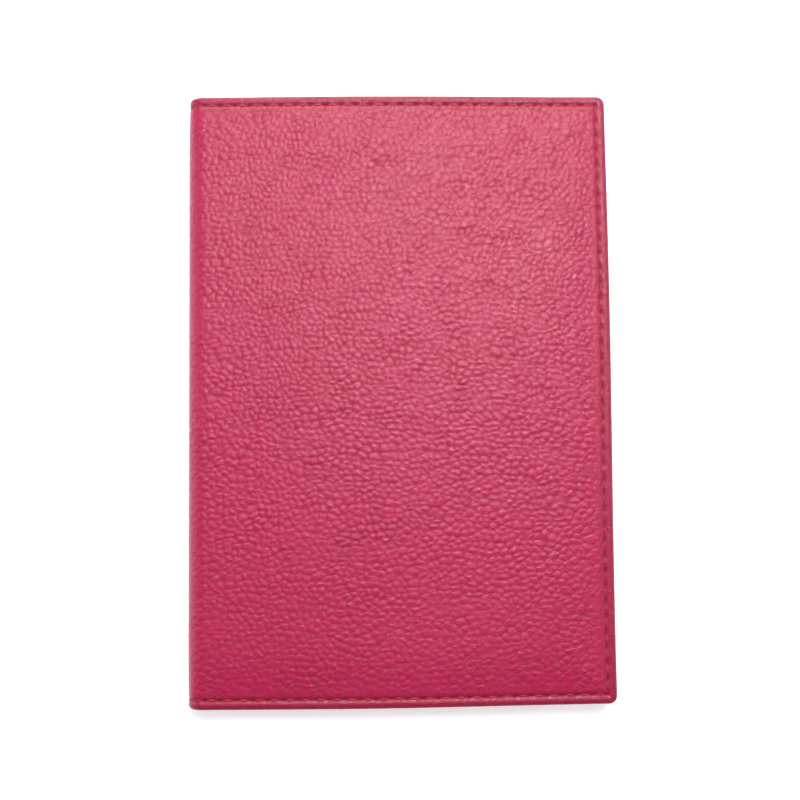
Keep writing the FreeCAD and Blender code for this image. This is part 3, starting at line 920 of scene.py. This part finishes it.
def speckled_material(name, dark, light, scale, rise, rough):
    """A plain hidden material with fine speckle: foam cells or board fibres."""
    material, nodes, shader = material_with_nodes(name)
    place = nodes.add("ShaderNodeTexCoord").outputs["Object"]
    cells = nodes.add("ShaderNodeTexVoronoi", {"Vector": place, "Scale": scale})
    grit = nodes.add("ShaderNodeTexNoise", {"Vector": place, "Scale": scale * 1.7, "Detail": 3.0})
    height = nodes.math("MULTIPLY", cells.outputs["Distance"], grit.outputs[0])
    colour = nodes.mix(nodes.ramp(height, 0.0, 0.5), dark, light)
    shader.inputs["Roughness"].default_value = rough
    connect(nodes, shader, Base_Color=colour, Normal=add_bump(nodes, height, rise))
    return material


def dress(piece, material):
    piece.data.materials.clear()
    piece.data.materials.append(material)


# ---------------------------------------------------------------- build the holder
outer_leather = outer_leather_material()
pocket_leather = pocket_leather_material()
# the first colour of each cloth is its painted shade between the ribs, and its patches
lining_cloth = cloth_material("rose_lining_twill", srgb(112, 16, 44), srgb(166, 40, 78), rib_pitch=0.7 * MM)
backing_cloth = cloth_material("thin_backing_weave", srgb(80, 14, 32), srgb(120, 30, 54), rib_pitch=0.5 * MM)
tape_cloth = cloth_material("woven_tape", srgb(104, 26, 46), srgb(150, 52, 78), rib_pitch=0.9 * MM)
thread_rose = thread_material()
foam = speckled_material("closed_cell_foam", srgb(196, 190, 178), srgb(232, 228, 216),
                         scale=2400.0, rise=0.05 * MM, rough=0.85)
grey_board = speckled_material("bonded_grey_board", srgb(120, 112, 100), srgb(172, 164, 150),
                               scale=1500.0, rise=0.02 * MM, rough=0.8)

for cover, seed in (("front", 3), ("back", 11)):
    skin = leather_skin(cover, seed)
    dress(skin, outer_leather)
    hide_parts(f"{cover}_outer_leather", "spine_outer_leather")
    bend_with_spine(skin, cover)

    outside_thread = needle_thread(cover)
    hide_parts(f"{cover}_needle_thread", "spine_needle_thread")
    bend_with_spine(outside_thread, cover)
    for thread in [outside_thread] + bobbin_thread(cover):
        dress(thread, thread_rose)

    dress(lining_sheet(cover), lining_cloth)
    dress(tape_half(cover), tape_cloth)
    dress(foam_pad(cover), foam)
    dress(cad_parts[f"{cover}_stiffener_board"], grey_board)

dress(pocket_leaf("passport_sleeve", "back", "spine"), pocket_leather)
dress(pocket_leaf("slip_pocket_panel", "front", "spine"), pocket_leather)
for card_pocket in LEAVES["front"][1:]:
    dress(pocket_leaf(card_pocket, "front", "head"), pocket_leather)
dress(backing_sheet("passport_sleeve_backing", "back"), backing_cloth)
dress(backing_sheet("slip_pocket_backing", "front"), backing_cloth)
dress(upright_row("sleeve_edge_thread", "back"), thread_rose)
dress(upright_row("card_seam_thread", "front"), thread_rose)


# ---------------------------------------------------------------- floor, light and camera
def plain_floor():
    deselect()
    bpy.ops.mesh.primitive_plane_add(size=6, location=(0, 0, 0))
    floor = bpy.context.object
    floor.name = "floor"
    material, _, shader = material_with_nodes("pale_floor")
    shader.inputs["Base Color"].default_value = (0.86, 0.86, 0.86, 1)
    shader.inputs["Roughness"].default_value = 0.9
    shader.inputs["Specular IOR Level"].default_value = 0.1
    shader.inputs["Emission Color"].default_value = (1, 1, 1, 1)
    shader.inputs["Emission Strength"].default_value = 0.6
    dress(floor, material)


def soft_light(name, place, size, power, colour=(1, 1, 1)):
    data = bpy.data.lights.new(name, "AREA")
    data.shape = "RECTANGLE"
    data.size, data.size_y = size
    data.energy = power
    data.color = colour
    light = bpy.data.objects.new(name, data)
    bpy.context.scene.collection.objects.link(light)
    light.location = place
    light.rotation_euler = (-Vector(place)).to_track_quat("-Z", "Y").to_euler()


def studio_world():
    """A dim surround for the light it gives, and a pale one where the camera sees past the floor."""
    world = bpy.data.worlds.new("studio")
    world.use_nodes = True
    nodes = Nodes(world.node_tree)
    surround = world.node_tree.nodes["Background"]
    surround.inputs["Color"].default_value = (1, 1, 1, 1)
    surround.inputs["Strength"].default_value = 0.06
    backdrop = nodes.add("ShaderNodeBackground", {"Color": (0.66, 0.66, 0.66, 1), "Strength": 1.0})
    seen = nodes.add("ShaderNodeLightPath").outputs["Is Camera Ray"]
    both = nodes.add("ShaderNodeMixShader", {0: seen, 1: surround.outputs[0], 2: backdrop.outputs[0]})
    world.node_tree.links.new(both.outputs[0], world.node_tree.nodes["World Output"].inputs["Surface"])
    bpy.context.scene.world = world


def studio_lights():
    soft_light("near_lamp", (0.05, 0.156, 0.45), (0.15, 0.15), 1.6, (0.95, 0.97, 1.0))
    soft_light("head_softbox", (0.05, 0.66, 0.56), (0.8, 0.4), 2.9)
    soft_light("low_head_light", (-0.10, 0.95, 0.32), (0.7, 0.3), 4.9)
    soft_light("left_softbox", (-0.9, 0.05, 0.30), (0.4, 0.9), 2.4)
    soft_light("right_softbox", (0.9, 0.05, 0.30), (0.4, 0.9), 2.8, (0.85, 0.92, 1.0))
    soft_light("tail_softbox", (0.0, -0.9, 0.20), (0.9, 0.3), 0.6)


def studio_camera():
    """Almost straight down on the closed cover, a little from the tail."""
    spin, lean, tip = (math.radians(angle) for angle in (0.51, 1.36, -3.81))
    turn = Matrix.Rotation(spin, 3, "Z") @ Matrix.Rotation(lean, 3, "Y") @ Matrix.Rotation(tip, 3, "X")
    cover_middle = Vector((0, 0, CLOSED - BORDER_DROP))
    back_off = Vector((0, 0.8 * MM, -253.4 * MM))
    camera = bpy.data.objects.new("camera", bpy.data.cameras.new("camera"))
    bpy.context.scene.collection.objects.link(camera)
    camera.data.lens = 50
    camera.data.sensor_width = 36
    camera.data.clip_start = 0.01
    place = cover_middle - turn.transposed() @ back_off
    camera.matrix_world = Matrix.Translation(place) @ turn.transposed().to_4x4()
    bpy.context.scene.camera = camera


plain_floor()
studio_world()
studio_lights()
studio_camera()
bpy.context.scene.view_settings.view_transform = "Standard"
